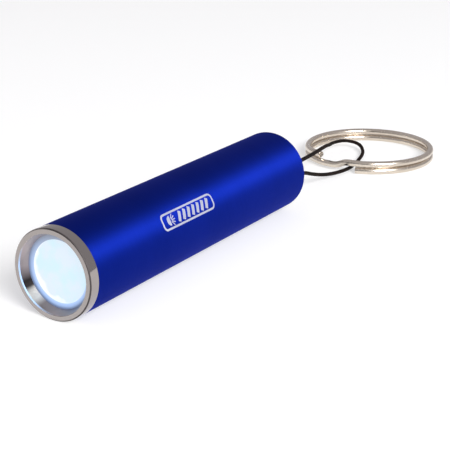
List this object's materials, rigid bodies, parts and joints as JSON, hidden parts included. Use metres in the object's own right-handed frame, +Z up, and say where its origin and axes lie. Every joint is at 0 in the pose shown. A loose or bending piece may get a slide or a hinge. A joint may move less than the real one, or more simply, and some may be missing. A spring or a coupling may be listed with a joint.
{
  "type": "keychain flashlight",
  "caption": "Pocket torch in an anodised tube with a chromed screw bezel, lit lens, coin-cell stack and tail switch; a cord loop at the tail carries a split ring.",
  "frame": {"origin": "on the plane that the torch lies on, under the middle of its tube", "axes": "+Z up, -Y along the beam, +Y towards the tail and the lanyard, +X to the right of someone looking along +Y"},
  "size_m": [0.03, 0.1293, 0.016],
  "materials": {
    "anodised_blue": "satin anodised, deep blue",
    "bezel_chrome": "polished chrome plate",
    "lens_clear": "clear polished acrylic, lit from behind",
    "gasket_silicone": "translucent silicone that glows faintly blue with the lamp on",
    "reflector_metal": "vacuum-metallised plastic",
    "led_resin": "clear epoxy over yellow phosphor",
    "tinned_wire": "tinned",
    "board_laminate": "green solder mask",
    "resistor_ceramic": "black chip resistor",
    "white_plastic": "natural white moulding",
    "spring_steel": "nickel-plated spring wire",
    "cell_nickel": "nickel-plated can",
    "contact_brass": "bright brass",
    "black_plastic": "fine matt moulding",
    "button_rubber": "matt black rubber",
    "cord_nylon": "fine braided nylon",
    "ring_nickel": "nickel-plated round wire"
  },
  "bodies": {
    "torch_body": {"body_tube": "anodised_blue", "reflector": "reflector_metal", "led": "led_resin", "led_leads": "tinned_wire", "led_board": "board_laminate", "series_resistor": "resistor_ceramic", "board_spacer": "white_plastic", "front_contact_spring": "spring_steel", "button_cell_1": "cell_nickel", "button_cell_2": "cell_nickel", "button_cell_3": "cell_nickel", "button_cell_4": "cell_nickel", "battery_sleeve": "white_plastic", "battery_spring": "spring_steel", "centre_contact": "contact_brass", "side_contact": "contact_brass", "switch_housing": "black_plastic", "switch_guide": "black_plastic", "return_spring": "spring_steel", "tail_plug": "black_plastic", "cord_bight": "cord_nylon"},
    "lens_stage": {"lens": "lens_clear"},
    "bezel": {"bezel_ring": "bezel_chrome", "lens_gasket": "gasket_silicone"},
    "button": {"push_button": "button_rubber", "switch_plunger": "white_plastic", "contact_bridge": "contact_brass"},
    "lanyard": {"cord_loop": "cord_nylon"},
    "key_ring": {"split_ring": "ring_nickel"}
  },
  "joints": [
    {"name": "bezel_travel", "type": "slide", "parent": "torch_body", "child": "lens_stage", "axis": [0, -1, 0], "range_m": [0, 0.003]},
    {"name": "bezel_unscrew", "type": "hinge", "parent": "lens_stage", "child": "bezel", "pos_m": [0, -0.035, 0.008], "axis": [0, -1, 0], "range_deg": [0, 1440]},
    {"name": "button_press", "type": "slide", "parent": "torch_body", "child": "button", "axis": [0, -1, 0], "range_m": [0, 0.001], "stiffness_N_per_m": 400, "springref_m": -0.003, "deforming": ["return_spring"]},
    {"name": "lanyard_swing", "type": "hinge", "parent": "torch_body", "child": "lanyard", "pos_m": [0.0052, 0.034, 0.008], "axis": [0, 0, 1], "range_deg": [-45, 50]},
    {"name": "ring_tilt", "type": "hinge", "parent": "lanyard", "child": "key_ring", "pos_m": [0.00195, 0.06505, 0.0023], "axis": [0.9962, 0.0872, 0], "range_deg": [-60, 110]}
  ],
  "couplings": [
    {"joint": "bezel_unscrew", "follows": "bezel_travel", "rad_per_m": 8377.6}
  ]
}
